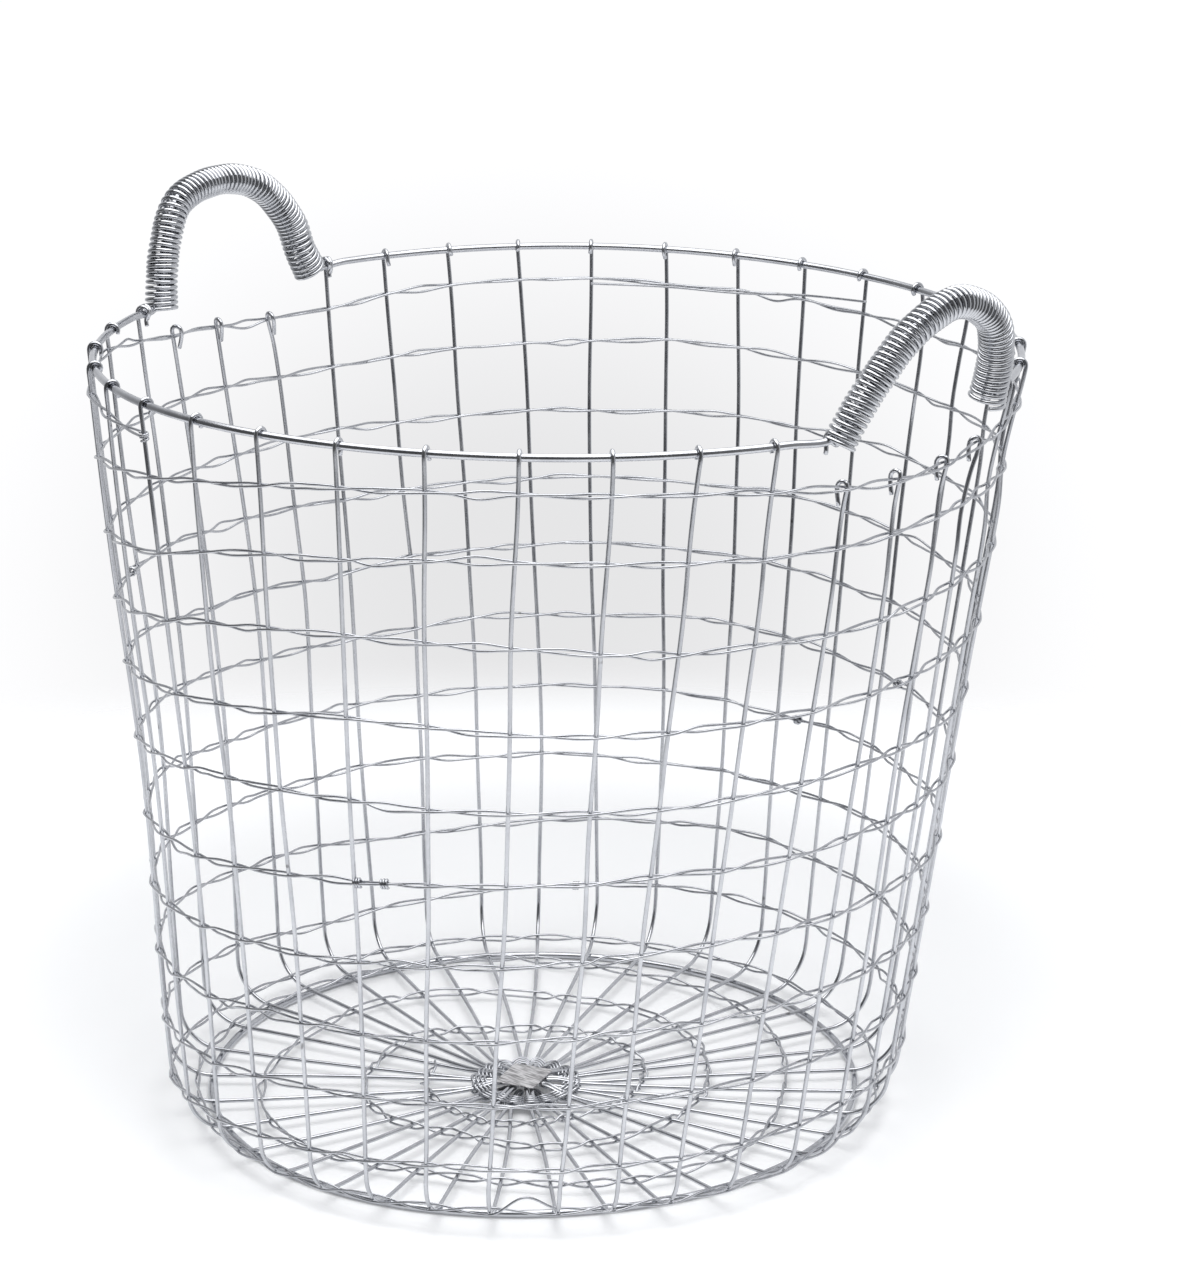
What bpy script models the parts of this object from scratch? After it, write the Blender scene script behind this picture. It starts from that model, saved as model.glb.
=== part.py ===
"""Round woven wire basket with two sleeve-covered bow handles, standing on a foot ring.

Metres, +Z up. The origin is on the floor under the middle of the rim, and the handles lie
close to the X axis: the one at -X over three short ribs, the one at +X over four.
Every wire is a separate closed solid, with a small gap where two wires touch in use.
"""

import math

import bpy
from mathutils import Vector

# Wire radii
RIM_WIRE = 0.0020
RIB_WIRE = 0.00125
WEAVE_WIRE = 0.00070
GAP = 0.0003

# Ribs: 36 uprights made as 18 hairpins, each turning round in the hub
RIBS = 36
STEP = 2.0 * math.pi / RIBS
FIRST_RIB = math.radians(12.5)
SPOKE_Z = 0.0056
CORNER_START_R = 0.1775
CORNER_RADIUS = 0.026
CORNER_STEPS = 4

# Rim and the wall that leans out to it
RIM_R = 0.240
RIM_Z = 0.421
RIM_LOOP = 0.0038
RIM_TAIL = 0.006

# Bow handles, bent up out of the rim wire
HANDLE_CENTRES = (math.radians(182.5), math.radians(-2.5))
HANDLE_HALF_SPAN = math.radians(14.0)
HANDLE_HEIGHT = 0.062
HANDLE_SQUARENESS = 2.4
HANDLE_LEAN = math.radians(6.0)
SHORT_RIB_SPAN = math.radians(16.0)
SLEEVE_INNER = 0.0060
SLEEVE_OUTER = 0.0084
SLEEVE_END_HEIGHT = 0.007

# Woven rows: heights on the wall, the row round the corner, and the rings on the base
WALL_ROWS = (0.043, 0.079, 0.117, 0.159, 0.202, 0.244, 0.288, 0.331, 0.371, 0.405)
BASE_ROWS = (0.066, 0.096, 0.143)
PAIRED_BASE_ROWS = 2
STRAND_SIDE = RIB_WIRE + WEAVE_WIRE + 0.0005
STRAND_APART = 0.00095
STRAND_SECTION = 0.00085

# Hook of a short rib over the top row
SHORT_HOOK_R = 0.0030
SHORT_HOOK_RISE = 0.0020
SHORT_HOOK_TAIL = 0.0105

# Hub: pairs of spokes lie side by side, every second pair on top, bound by twined rows
HUB_OUTER_R = 0.036
HUB_PAIR_HALF = 0.0017
HUB_STEP_OUT_R = 0.0220
HUB_STEP_IN_R = 0.0165
HUB_END_R = 0.0100
HUB_LAYER = 0.0029
HUB_ROWS = (0.0240, 0.0285, 0.0330)

# Foot ring under the spokes, with a flat underside
FOOT_R = 0.179
FOOT_WIRE = 0.0020

# Blank tag on the hub
TAG_LENGTH = 0.028
TAG_WIDTH = 0.026
TAG_THICKNESS = 0.0010
TAG_TURN = math.radians(12.0)


def clear_scene():
    for obj in list(bpy.data.objects):
        bpy.data.objects.remove(obj, do_unlink=True)


def make_material(name, colour, roughness, metallic):
    material = bpy.data.materials.new(name)
    material.use_nodes = True
    shader = material.node_tree.nodes["Principled BSDF"]
    shader.inputs["Base Color"].default_value = (*colour, 1.0)
    shader.inputs["Roughness"].default_value = roughness
    shader.inputs["Metallic"].default_value = metallic
    return material


def add_mesh(name, points, faces, material):
    mesh = bpy.data.meshes.new(name)
    mesh.from_pydata([tuple(point) for point in points], [], faces)
    mesh.materials.append(material)
    obj = bpy.data.objects.new(name, mesh)
    bpy.context.scene.collection.objects.link(obj)
    return obj


def polar(radius, angle, height):
    return Vector((radius * math.cos(angle), radius * math.sin(angle), height))


def bisected(path, closed):
    """For each point of the path: its tangent, the bend's inward direction and the mitre stretch."""
    found = []
    count = len(path)
    for i, point in enumerate(path):
        before = path[i - 1] if closed or i > 0 else None
        after = path[(i + 1) % count] if closed or i < count - 1 else None
        into = (point - before).normalized() if before is not None else None
        out = (after - point).normalized() if after is not None else None
        if into is None or out is None:
            found.append((out or into, Vector((0, 0, 0)), 1.0))
            continue
        tangent = (into + out).normalized()
        inward = out - into
        if inward.length < 1e-9:
            found.append((tangent, Vector((0, 0, 0)), 1.0))
            continue
        found.append((tangent, inward.normalized(), 1.0 / max(0.5, tangent.dot(out))))
    return found


def sections(path, radius, sides, closed=False, reference=None, turn=0.0):
    """Mitred cross-sections along a path. The reference is a fixed vector or a function of the
    point; without one, the first section is carried along the path without twisting."""
    rings = []
    frames = bisected(path, closed)
    side = None
    last = None
    for point, (tangent, inward, stretch) in zip(path, frames):
        if reference is not None:
            wanted = reference(point) if callable(reference) else Vector(reference)
        elif side is None:
            wanted = tangent.orthogonal()
        else:
            wanted = last.rotation_difference(tangent) @ side
        side = (wanted - wanted.dot(tangent) * tangent).normalized()
        last = tangent
        other = tangent.cross(side)
        ring = []
        for k in range(sides):
            angle = turn + 2.0 * math.pi * k / sides
            offset = radius * (math.cos(angle) * side + math.sin(angle) * other)
            offset += (stretch - 1.0) * offset.dot(inward) * inward
            ring.append(point + offset)
        rings.append(ring)
    return rings


def skin(rings, closed):
    """Faces between successive rings of points, capped at the ends of an open path."""
    sides = len(rings[0])
    count = len(rings)
    faces = []
    for i in range(count if closed else count - 1):
        j = (i + 1) % count
        for k in range(sides):
            m = (k + 1) % sides
            faces.append((i * sides + k, i * sides + m, j * sides + m, j * sides + k))
    if not closed:
        faces.append(tuple(range(sides))[::-1])
        faces.append(tuple(range((count - 1) * sides, count * sides)))
    return faces


def add_wire(name, path, radius, sides, material, closed=False, reference=None, turn=0.0):
    rings = sections(path, radius, sides, closed, reference, turn)
    points = [point for ring in rings for point in ring]
    return add_mesh(name, points, skin(rings, closed), material)


def add_sleeve(name, path, inner, outer, sides, material):
    """An open tube along a path: the outer skin, the bore, and a ring of faces at each end."""
    outside = sections(path, outer, sides)
    inside = sections(path, inner, sides)
    count = len(path)
    total = count * sides
    points = [point for ring in outside + inside for point in ring]
    faces = skin(outside, True)[: (count - 1) * sides]
    faces += [tuple(total + v for v in face)[::-1] for face in skin(inside, True)[: (count - 1) * sides]]
    for k in range(sides):
        m = (k + 1) % sides
        faces.append((k, total + k, total + m, m))
        end = (count - 1) * sides
        faces.append((end + k, end + m, total + end + m, total + end + k))
    return add_mesh(name, points, faces, material)


def wall_foot():
    """Radius and height where the corner bend meets the wall, and the bend's whole angle."""
    r, z = CORNER_START_R, SPOKE_Z + CORNER_RADIUS
    lean = math.atan2(RIM_R + RIM_LOOP - r - CORNER_RADIUS, RIM_Z - z)
    sweep = math.pi / 2.0 - lean
    return r + CORNER_RADIUS * math.sin(sweep), z - CORNER_RADIUS * math.cos(sweep), sweep


def wall_radius(height):
    foot_r, foot_z, _ = wall_foot()
    share = (height - foot_z) / (RIM_Z - foot_z)
    return foot_r + share * (RIM_R + RIM_LOOP - foot_r)


def corner_point(angle):
    """Radius and height on the corner bend, the angle counted from its start on the base."""
    return (
        CORNER_START_R + CORNER_RADIUS * math.sin(angle),
        SPOKE_Z + CORNER_RADIUS - CORNER_RADIUS * math.cos(angle),
    )


def rib_angle(index):
    return FIRST_RIB + index * STEP


def away_from(angle, centre):
    return abs((angle - centre + math.pi) % (2.0 * math.pi) - math.pi)


def is_short(index):
    """Whether this rib ends under a handle, on the top row."""
    return any(away_from(rib_angle(index), centre) < SHORT_RIB_SPAN for centre in HANDLE_CENTRES)


def pair_angle(pair):
    return rib_angle(2 * pair) + STEP / 2.0


def spoke_line(index):
    """The spoke's two ends on the base: outer end at the corner, inner end at the hub."""
    side = 1.0 if index % 2 else -1.0
    pair = pair_angle(index // 2)
    along = polar(1.0, pair, 0.0)
    across = polar(1.0, pair + math.pi / 2.0, 0.0)
    inner = HUB_OUTER_R * along + side * HUB_PAIR_HALF * across
    return polar(CORNER_START_R, rib_angle(index), 0.0), inner


def spoke_angle(index, radius):
    """Where the spoke crosses a circle on the base."""
    outer, inner = spoke_line(index)
    run = outer - inner
    a, b, c = run.dot(run), 2.0 * inner.dot(run), inner.dot(inner) - radius * radius
    share = (-b + math.sqrt(b * b - 4.0 * a * c)) / (2.0 * a)
    point = inner + share * run
    return math.atan2(point.y, point.x)


def rib_top(index):
    """Hook points of one rib, from the wall upwards: over the rim, or over the top row."""
    angle = rib_angle(index)
    if is_short(index):
        centre_z = WALL_ROWS[-1] + SHORT_HOOK_RISE
        centre_r = wall_radius(centre_z) - SHORT_HOOK_R
        radius, tail = SHORT_HOOK_R, SHORT_HOOK_TAIL
    else:
        centre_z, centre_r = RIM_Z, RIM_R
        radius, tail = RIM_LOOP, RIM_TAIL
    points = []
    for k in range(5):
        turn = math.pi * k / 4.0
        points.append(polar(centre_r + radius * math.cos(turn), angle, centre_z + radius * math.sin(turn)))
    points.append(polar(centre_r - radius, angle, centre_z - tail))
    return points


def rib_leg(index):
    """Path of one rib from the edge of the hub to the end of its hook."""
    angle = rib_angle(index)
    inner = spoke_line(index)[1]
    path = [Vector((inner.x, inner.y, SPOKE_Z))]
    sweep = wall_foot()[2]
    for k in range(CORNER_STEPS + 1):
        radius, height = corner_point(sweep * k / CORNER_STEPS)
        path.append(polar(radius, angle, height))
    return path + rib_top(index)


def hub_turn(pair):
    """Path of the pair inside the hub: in along one side, round the end and out again."""
    along = polar(1.0, pair_angle(pair), 0.0)
    across = polar(1.0, pair_angle(pair) + math.pi / 2.0, 0.0)
    top = SPOKE_Z + (HUB_LAYER if pair % 2 else 0.0)
    rows = []
    if pair % 2:
        rows = [(HUB_STEP_OUT_R, SPOKE_Z), (HUB_STEP_IN_R, top)]
    rows.append((HUB_END_R + HUB_PAIR_HALF, top))
    into = [along * r - across * HUB_PAIR_HALF + Vector((0, 0, z)) for r, z in rows]
    out = [along * r + across * HUB_PAIR_HALF + Vector((0, 0, z)) for r, z in reversed(rows)]
    end = []
    for turn in (-math.pi / 3.0, 0.0, math.pi / 3.0):
        reach = HUB_END_R + HUB_PAIR_HALF * (1.0 - math.cos(turn))
        end.append(along * reach + across * HUB_PAIR_HALF * math.sin(turn) + Vector((0, 0, top)))
    return into + end + out


def add_ribs(material):
    for pair in range(RIBS // 2):
        first = rib_leg(2 * pair)[::-1]
        second = rib_leg(2 * pair + 1)
        path = first + hub_turn(pair) + second
        add_wire(f"rib_pair_{pair + 1:02d}", path, RIB_WIRE, 4, material)


def handle_point(centre, share):
    """A point on the bow's centre line. The share runs from -1 at one foot to 1 at the other."""
    across = polar(1.0, centre + math.pi / 2.0, 0.0)
    outward = polar(1.0, centre, 0.0)
    up = outward * math.sin(HANDLE_LEAN) + Vector((0, 0, math.cos(HANDLE_LEAN)))
    half = RIM_R * math.sin(HANDLE_HALF_SPAN)
    base = outward * RIM_R * math.cos(HANDLE_HALF_SPAN) + Vector((0, 0, RIM_Z))
    turn = share * math.pi / 2.0
    power = 2.0 / HANDLE_SQUARENESS
    along = math.copysign(abs(math.sin(turn)) ** power, share)
    height = abs(math.cos(turn)) ** power
    return base + across * half * along + up * HANDLE_HEIGHT * height


def handle_path(centre, low, steps):
    """Bow points from foot to foot, starting and ending at the given height above the rim."""
    start = 1.0
    while handle_point(centre, start).z - RIM_Z < low:
        start -= 0.001
    return [handle_point(centre, start * (2.0 * k / steps - 1.0)) for k in range(steps + 1)]


def add_rim(material):
    """One closed wire: round the rim, up and over each bow."""
    path = []
    ends = [
        (HANDLE_CENTRES[1], HANDLE_CENTRES[0]),
        (HANDLE_CENTRES[0], HANDLE_CENTRES[1] + 2.0 * math.pi),
    ]
    corner = math.radians(2.0)
    for start, stop in ends:
        path += handle_path(start, 0.006, 12)
        low, high = start + HANDLE_HALF_SPAN + corner, stop - HANDLE_HALF_SPAN - corner
        path.append(polar(RIM_R, low - 0.8 * corner, RIM_Z + 0.001))
        for k in range(25):
            path.append(polar(RIM_R, low + (high - low) * k / 24.0, RIM_Z))
        path.append(polar(RIM_R, high + 0.8 * corner, RIM_Z + 0.001))
    add_wire("rim_wire", path, RIM_WIRE, 6, material, True, lambda p: Vector((p.x, p.y, 0.0)))


def add_sleeves(material):
    for name, centre in zip(("handle_coil_left", "handle_coil_right"), HANDLE_CENTRES):
        path = handle_path(centre, SLEEVE_END_HEIGHT, 18)
        add_sleeve(name, path, SLEEVE_INNER, SLEEVE_OUTER, 8, material)


def add_twined_row(name, crossings, material, paired=False):
    """Two strands round the basket. A crossing is the point on a rib, the way off it that a
    strand passes, and the way that keeps the two strands apart. A paired row takes both
    spokes of a pair together."""
    for strand, label in enumerate("ab"):
        path = []
        for i, (point, off, apart) in enumerate(crossings):
            passed = i // 2 if paired else i
            side = 1.0 if (passed + strand) % 2 else -1.0
            level = 1.0 if strand else -1.0
            path.append(point + side * STRAND_SIDE * off + level * STRAND_APART * apart)
        reference = (0, 0, 1)
        add_wire(f"{name}_{label}", path, STRAND_SECTION, 3, material, True, reference)


def add_wall_rows(material):
    foot_r, foot_z, sweep = wall_foot()
    for row, height in enumerate(WALL_ROWS):
        crossings = []
        for i in range(RIBS):
            angle = rib_angle(i)
            off = polar(math.sin(sweep), angle, -math.cos(sweep))
            up = polar(math.cos(sweep), angle, math.sin(sweep))
            crossings.append((polar(wall_radius(height), angle, height), off, up))
        add_twined_row(f"wall_row_{row + 1:02d}", crossings, material)


def add_corner_row(material):
    turn = wall_foot()[2] / 2.0
    radius, height = corner_point(turn)
    crossings = []
    for i in range(RIBS):
        angle = rib_angle(i)
        off = polar(math.sin(turn), angle, -math.cos(turn))
        up = polar(math.cos(turn), angle, math.sin(turn))
        crossings.append((polar(radius, angle, height), off, up))
    add_twined_row("corner_row", crossings, material)


def add_base_rows(material):
    for row, radius in enumerate(BASE_ROWS):
        crossings = []
        for i in range(RIBS):
            angle = spoke_angle(i, radius)
            crossings.append((polar(radius, angle, SPOKE_Z), Vector((0, 0, 1)), polar(1.0, angle, 0.0)))
        add_twined_row(f"base_row_{row + 1}", crossings, material, row < PAIRED_BASE_ROWS)


def add_hub_rows(material):
    """Each strand passes over one pair of spokes and under the next."""
    for row, radius in enumerate(HUB_ROWS):
        half = math.asin((HUB_PAIR_HALF + RIB_WIRE) / radius)
        for strand, label in enumerate("ab"):
            path = []
            for pair in range(RIBS // 2):
                side = 1.0 if (pair + strand) % 2 else -1.0
                reach = radius + (STRAND_APART if strand else -STRAND_APART)
                for turn in (-half, half):
                    path.append(polar(reach, pair_angle(pair) + turn, SPOKE_Z + side * STRAND_SIDE))
            name = f"hub_row_{row + 1}_{label}"
            add_wire(name, path, STRAND_SECTION, 3, material, True, lambda p: Vector((p.x, p.y, 0.0)))


def add_foot_ring(material):
    """An eight-sided section turned so that one flat lies on the floor."""
    section = FOOT_WIRE / math.cos(math.pi / 8.0)
    path = [polar(FOOT_R, 2.0 * math.pi * k / 48, FOOT_WIRE) for k in range(48)]
    add_wire("foot_ring", path, section, 8, material, True, (0, 0, 1), math.pi / 8.0)


def add_tag(material):
    bottom = SPOKE_Z + HUB_LAYER + RIB_WIRE + GAP
    along = polar(TAG_LENGTH / 2.0, TAG_TURN, 0.0)
    across = polar(TAG_WIDTH / 2.0, TAG_TURN + math.pi / 2.0, 0.0)
    outline = [-along - across, along - across, along + across, -along + across]
    points = [corner + Vector((0, 0, bottom)) for corner in outline]
    points += [corner + Vector((0, 0, bottom + TAG_THICKNESS)) for corner in outline]
    faces = [(3, 2, 1, 0), (4, 5, 6, 7)]
    faces += [(k, (k + 1) % 4, (k + 1) % 4 + 4, k + 4) for k in range(4)]
    add_mesh("hub_tag", points, faces, material)


def main():
    clear_scene()
    bright = make_material("bright_wire", (0.72, 0.73, 0.75), 0.25, 1.0)
    weave = make_material("weave_wire", (0.66, 0.67, 0.69), 0.30, 1.0)
    coil = make_material("coil_wire", (0.78, 0.79, 0.81), 0.18, 1.0)
    tag = make_material("tag_metal", (0.55, 0.55, 0.57), 0.40, 1.0)
    add_rim(bright)
    add_sleeves(coil)
    add_ribs(bright)
    add_wall_rows(weave)
    add_corner_row(weave)
    add_base_rows(weave)
    add_hub_rows(weave)
    add_foot_ring(bright)
    add_tag(tag)


main()
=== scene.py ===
"""Looks for the woven wire basket: each CAD wire gets the round, hand-bent wire it stands for.

Lengths are metres. Bearings are degrees seen from above, counted from the direction that
points right in the main view; VIEW_TURN turns a bearing into an azimuth of the frame.
"""

import math
import random

import bpy
import numpy as np
from mathutils import Matrix, Vector


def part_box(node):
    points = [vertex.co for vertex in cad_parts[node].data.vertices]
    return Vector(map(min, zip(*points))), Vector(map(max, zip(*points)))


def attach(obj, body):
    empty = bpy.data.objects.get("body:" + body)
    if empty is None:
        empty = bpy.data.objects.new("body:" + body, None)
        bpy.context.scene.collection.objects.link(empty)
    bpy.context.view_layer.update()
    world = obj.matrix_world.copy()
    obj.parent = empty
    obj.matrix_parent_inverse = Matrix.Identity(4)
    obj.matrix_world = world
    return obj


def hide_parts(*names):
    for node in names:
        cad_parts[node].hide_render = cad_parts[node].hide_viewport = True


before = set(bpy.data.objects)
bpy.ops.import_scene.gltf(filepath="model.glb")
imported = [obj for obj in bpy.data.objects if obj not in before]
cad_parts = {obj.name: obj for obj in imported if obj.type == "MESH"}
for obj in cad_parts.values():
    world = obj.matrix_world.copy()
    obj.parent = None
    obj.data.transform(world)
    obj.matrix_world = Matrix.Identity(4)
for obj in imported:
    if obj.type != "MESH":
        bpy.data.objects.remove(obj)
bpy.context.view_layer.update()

# The camera: how far back and up it stands from the basket's foot, its turn in radians, and its
# lens and sensor in millimetres
VIEW_TURN = math.radians(38.8)
CAMERA_BACK = 2.0731
CAMERA_HEIGHT = 0.9309
CAMERA_PITCH = 0.3128
CAMERA_YAW = 0.0149
CAMERA_ROLL = 0.0027
CAMERA_LENS = 114.36
CAMERA_SENSOR = 36.0

# Wire radii, and the gap left between two wires that touch
RIM_WIRE = 0.0020
FOOT_WIRE = 0.0020
RIB_WIRE = 0.00115
WEAVE_WIRE = 0.00070
COIL_WIRE = 0.00118
TOUCH = 0.00004
RIM_LOOP = RIM_WIRE + RIB_WIRE + TOUCH
WEAVE_REACH = RIB_WIRE + WEAVE_WIRE + TOUCH

# The basket leans: its rim stands this far to the right of its foot
LEAN = 0.0138

# The rim's mean radius, and how far its middle is above the lowest point of the CAD rim
RIM_R = 0.2355
RIM_ABOVE_LOW = 0.0039

# Ribs, with the height of the spokes and the bend where a spoke turns up into the wall
RIBS = 36
PAIRS = RIBS // 2
STEP = 360.0 / RIBS
FIRST_RIB = -36.3
SPOKE_Z = 0.0056
CORNER_START_R = 0.1775
CORNER_RADIUS = 0.026

# Handles: bearings of the two legs, the lean away from the basket, the bow's outline along the
# chord and up from the rim in millimetres, how far the coil's two ends have slid along the chord
# in millimetres, and how much wider the coil is at its two ends
LEFT_BOW = {
    "legs": (128.8, 158.6),
    "lean": 6.0,
    "outline": (
        (0, 0), (2, 11), (8, 28), (30, 51), (62, 60), (98, 53), (112, 31), (117, 14), (121, 0),
    ),
    "feet": (-3.6, -1.6),
    "swell": (1.15, 1.09),
}
RIGHT_BOW = {
    "legs": (-55.0, -29.5),
    "lean": 12.0,
    "outline": (
        (0, 0), (7, 12), (17, 27), (36, 48), (65, 58.5), (94, 43), (102, 22), (102.5, 10), (97, 0),
    ),
    "feet": (0.6, 5.6),
    "swell": (1.02, 1.20),
}
CROWN_LIFT = 0.0036
RIM_GAP = 1.2
COIL_R = 0.0072
COIL_PITCH = 0.00292
COIL_STEPS = 26

# Hub: its size and its place on the base, half the space between the wires of a pair, where a
# pair's wire turns round, how far every second pair is raised, and the rounds of each hub row
HUB_R = 0.031
HUB_OFFSET = (-0.0046, -0.0155)
HUB_PAIR_HALF = 0.00135
HUB_TURN_REACHES = (0.024, 0.017, 0.0115)
HUB_TURN_TIP = 0.0100
PAIR_RISE = 0.0026
HUB_ROUNDS = ((0.0212, 0.0236), (0.0260,), (0.0284,))

# The tag on the hub
TAG_TURN = VIEW_TURN + math.radians(-24.0)
TAG_LENGTH = 0.023
TAG_WIDTH = 0.027
TAG_THICKNESS = 0.0008
TAG_CORNER = 0.0018
TAG_SHIFT = (-0.0009, -0.0008)

# The foot ring, which is flattened at the front
FOOT_R = 0.179
FOOT_FLAT = 0.0085

# How far the strands of a pair part between two ribs, at most, and the steps in that span
LOOSENESS = 0.0034
SPAN_STEPS = 16
# Strands that stand up between two ribs: crossing number, strand, and by how much
STRAND_LOOPS = {(113, 0): 0.0078}

# The floor's middle and the distances over which it fades out, and the same for the painted shade
# round the basket, a darker patch where its painted glow sets in
FLOOR_MIDDLE = -0.25
FLOOR_FADE = (0.78, 1.02)
FLOOR_PAINTED_SHADE_MIDDLE = 0.16
FLOOR_PAINTED_SHADE_TO_GLOW = (0.24, 0.46)
# The painted shade behind the basket: its tilt below the horizon, its half width and height,
# radians
BACKDROP_SHADE_TILT = 0.30
BACKDROP_SHADE_REACH = (0.1225, 0.088)


def harmonic(bearing, terms):
    """A smooth closed wave. A term is a whole number of waves, a size and a crest's bearing."""
    return sum(
        size * math.cos(waves * math.radians(bearing - crest)) for waves, size, crest in terms
    )


def bell(value, middle, width):
    """One at the middle, falling to nothing a few widths away."""
    return math.exp(-(((value - middle) / width) ** 2))


def eased(share):
    """Zero to one with a soft start and a soft stop."""
    share = min(1.0, max(0.0, share))
    return share * share * (3.0 - 2.0 * share)


def wander(seed, reach, slowest, fastest):
    """A seeded smooth closed wave that stays within about the given reach."""
    pick = random.Random(seed)
    terms = [
        (waves, pick.uniform(0.4, 1.0), pick.uniform(0.0, 360.0))
        for waves in range(slowest, fastest + 1)
    ]
    total = math.sqrt(sum(size * size for _, size, _ in terms))
    return lambda bearing: reach * harmonic(bearing, terms) / total


def polar(radius, bearing, height=0.0):
    """A point in the frame, from the basket's upright axis."""
    angle = math.radians(bearing) + VIEW_TURN
    return Vector((radius * math.cos(angle), radius * math.sin(angle), height))


def shift(right, away, up=0.0):
    """A displacement given as the main view sees it."""
    cosine, sine = math.cos(VIEW_TURN), math.sin(VIEW_TURN)
    return Vector((right * cosine - away * sine, right * sine + away * cosine, up))


def axis_shift(height):
    """The basket's leaning middle line, from the frame's upright axis."""
    return shift(LEAN * (height / RIM_Z - 0.5), 0.0)


def on_wall(radius, bearing, height):
    return polar(radius, bearing, height) + axis_shift(height)


def bearing_of(point, centre=Vector((0.0, 0.0, 0.0))):
    away = point - centre
    return math.degrees(math.atan2(away.y, away.x) - VIEW_TURN)


def middle_height(node):
    low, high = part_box(node)
    return (low[2] + high[2]) / 2.0


RIM_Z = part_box("rim_wire")[0][2] + RIM_ABOVE_LOW


def rim_radius(bearing):
    """The rim is pulled out of round. Its waves are a program's fit, rounded."""
    waves = ((1, 0.001, -53.0), (2, 0.0048, 7.5), (3, 0.0042, -33.0), (4, 0.0015, 6.5))
    return RIM_R + harmonic(bearing, waves)


# ---- curves and tubes


def smooth_path(points, closed, spacing):
    """A Catmull-Rom curve through the points, sampled about once every spacing."""
    points = [np.array(point, float) for point in points]
    count = len(points)
    found = []
    for i in range(count if closed else count - 1):
        if closed:
            before, start, stop, after = (points[(i + k) % count] for k in (-1, 0, 1, 2))
        else:
            start, stop = points[i], points[i + 1]
            before = points[i - 1] if i > 0 else 2.0 * start - stop
            after = points[i + 2] if i + 2 < count else 2.0 * stop - start
        knots = [0.0]
        for first, second in ((before, start), (start, stop), (stop, after)):
            knots.append(knots[-1] + max(1e-9, np.linalg.norm(second - first)) ** 0.5)
        k0, k1, k2, k3 = knots
        steps = max(1, int(round(np.linalg.norm(stop - start) / spacing)))
        for step in range(steps):
            t = k1 + (k2 - k1) * step / steps
            a1 = (k1 - t) / (k1 - k0) * before + (t - k0) / (k1 - k0) * start
            a2 = (k2 - t) / (k2 - k1) * start + (t - k1) / (k2 - k1) * stop
            a3 = (k3 - t) / (k3 - k2) * stop + (t - k2) / (k3 - k2) * after
            b1 = (k2 - t) / (k2 - k0) * a1 + (t - k0) / (k2 - k0) * a2
            b2 = (k3 - t) / (k3 - k1) * a2 + (t - k1) / (k3 - k1) * a3
            found.append((k2 - t) / (k2 - k1) * b1 + (t - k1) / (k2 - k1) * b2)
    if not closed:
        found.append(points[-1])
    return np.array(found)


def unit(vectors):
    return vectors / np.maximum(1e-12, np.linalg.norm(vectors, axis=-1, keepdims=True))


def tube_frames(path, closed):
    """Tangents and two cross directions at each point, carried along the path without twist."""
    if closed:
        tangents = unit(np.roll(path, -1, 0) - np.roll(path, 1, 0))
    else:
        tangents = unit(np.gradient(path, axis=0))
    count = len(path)
    sides = np.zeros_like(path)
    seed = np.array((0.0, 0.0, 1.0)) if abs(tangents[0][2]) < 0.9 else np.array((1.0, 0.0, 0.0))
    side = seed - seed.dot(tangents[0]) * tangents[0]
    for i in range(count):
        side = side - side.dot(tangents[i]) * tangents[i]
        side = side / np.linalg.norm(side)
        sides[i] = side
    others = np.cross(tangents, sides)
    if closed:
        last = side - side.dot(tangents[0]) * tangents[0]
        turn = math.atan2(last.dot(others[0]), last.dot(sides[0]))
        angles = -turn * np.arange(count) / count
        cosine, sine = np.cos(angles)[:, None], np.sin(angles)[:, None]
        sides, others = cosine * sides + sine * others, cosine * others - sine * sides
    return tangents, sides, others


def tube_arrays(path, radius, around, closed):
    """Points, quads and end caps of one round wire. The radius may vary along it."""
    path = np.asarray(path, float)
    radii = np.broadcast_to(np.asarray(radius, float), (len(path),))
    tangents, sides, others = tube_frames(path, closed)
    if not closed:
        # A cut end is slightly rounded over its last few tenths of a millimetre.
        lead = path[0] - tangents[0] * radii[0] * 0.25
        tail = path[-1] + tangents[-1] * radii[-1] * 0.25
        path = np.vstack((lead, path, tail))
        radii = np.concatenate(([radii[0] * 0.8], radii, [radii[-1] * 0.8]))
        sides = np.vstack((sides[0], sides, sides[-1]))
        others = np.vstack((others[0], others, others[-1]))
    angles = 2.0 * math.pi * np.arange(around) / around
    cosine, sine = np.cos(angles)[None, :, None], np.sin(angles)[None, :, None]
    ring = cosine * sides[:, None, :] + sine * others[:, None, :]
    points = path[:, None, :] + radii[:, None, None] * ring
    count = len(path)
    rows = np.arange(count if closed else count - 1)
    after = (rows + 1) % count
    columns = np.arange(around)
    beside = (columns + 1) % around
    here, there = rows[:, None] * around, after[:, None] * around
    quads = np.stack((here + columns, here + beside, there + beside, there + columns), -1)
    caps = []
    if not closed:
        caps = [list(range(around))[::-1], list(range((count - 1) * around, count * around))]
    return points.reshape(-1, 3), quads.reshape(-1, 4), caps


def linked(name, data):
    """A new object in the scene."""
    obj = bpy.data.objects.new(name, data)
    bpy.context.scene.collection.objects.link(obj)
    return obj


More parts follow.
